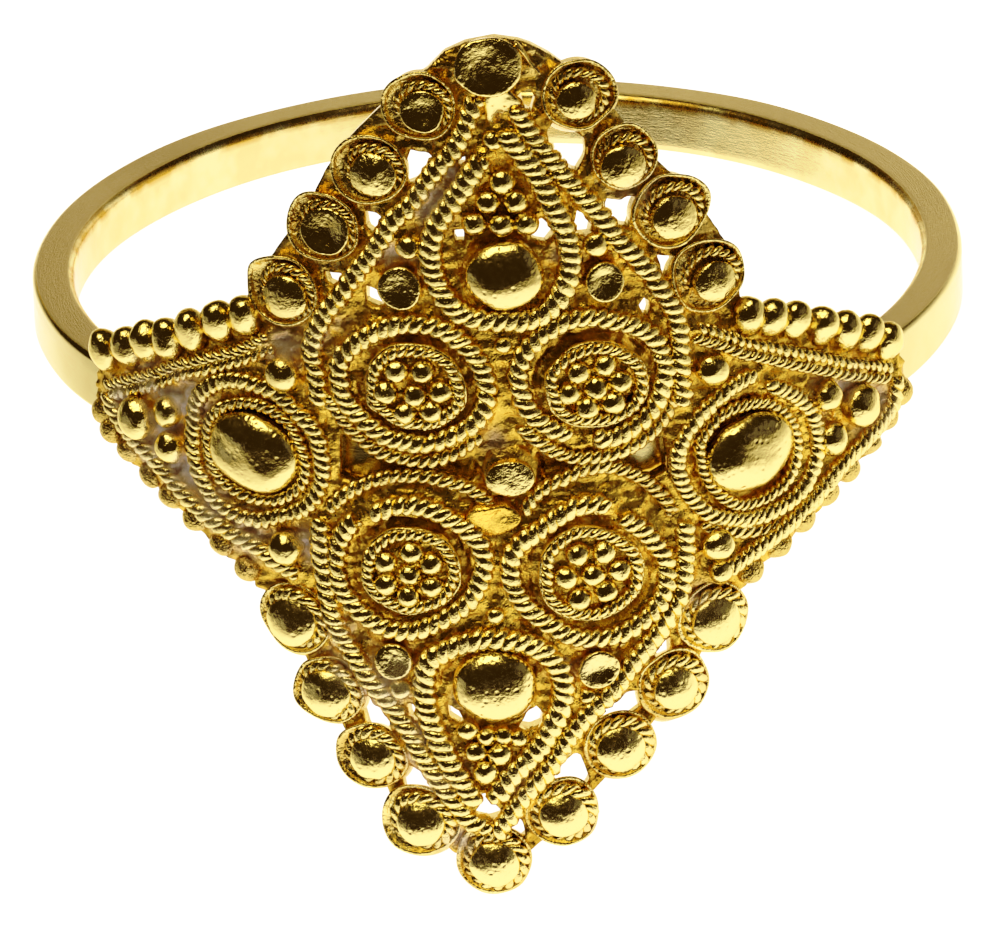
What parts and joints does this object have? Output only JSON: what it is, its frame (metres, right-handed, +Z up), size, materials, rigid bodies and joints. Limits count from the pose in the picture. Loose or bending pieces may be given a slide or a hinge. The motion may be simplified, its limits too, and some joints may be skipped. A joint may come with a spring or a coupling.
{
  "type": "gold finger ring",
  "caption": "Gold finger ring with a plain flat shank and a rhombic openwork filigree bezel of twisted wires, rosettes, domes, granules and rimmed cups.",
  "frame": {"origin": "centre of the finger hole, half way through the width of the shank", "axes": "+Z up from the surface it lies on, +X to the right as the bezel is seen, -Y out of the bezel. The bore's axis leans back by 21.6 degrees and to the right by 16.4 degrees, because the ring rests on its lower tip and the back of its shank"},
  "size_m": [0.0194, 0.023, 0.0179],
  "materials": {
    "gold": "polished gold with satin shank edges and darker recesses"
  },
  "bodies": {
    "root": {"ring": "gold"}
  },
  "joints": []
}
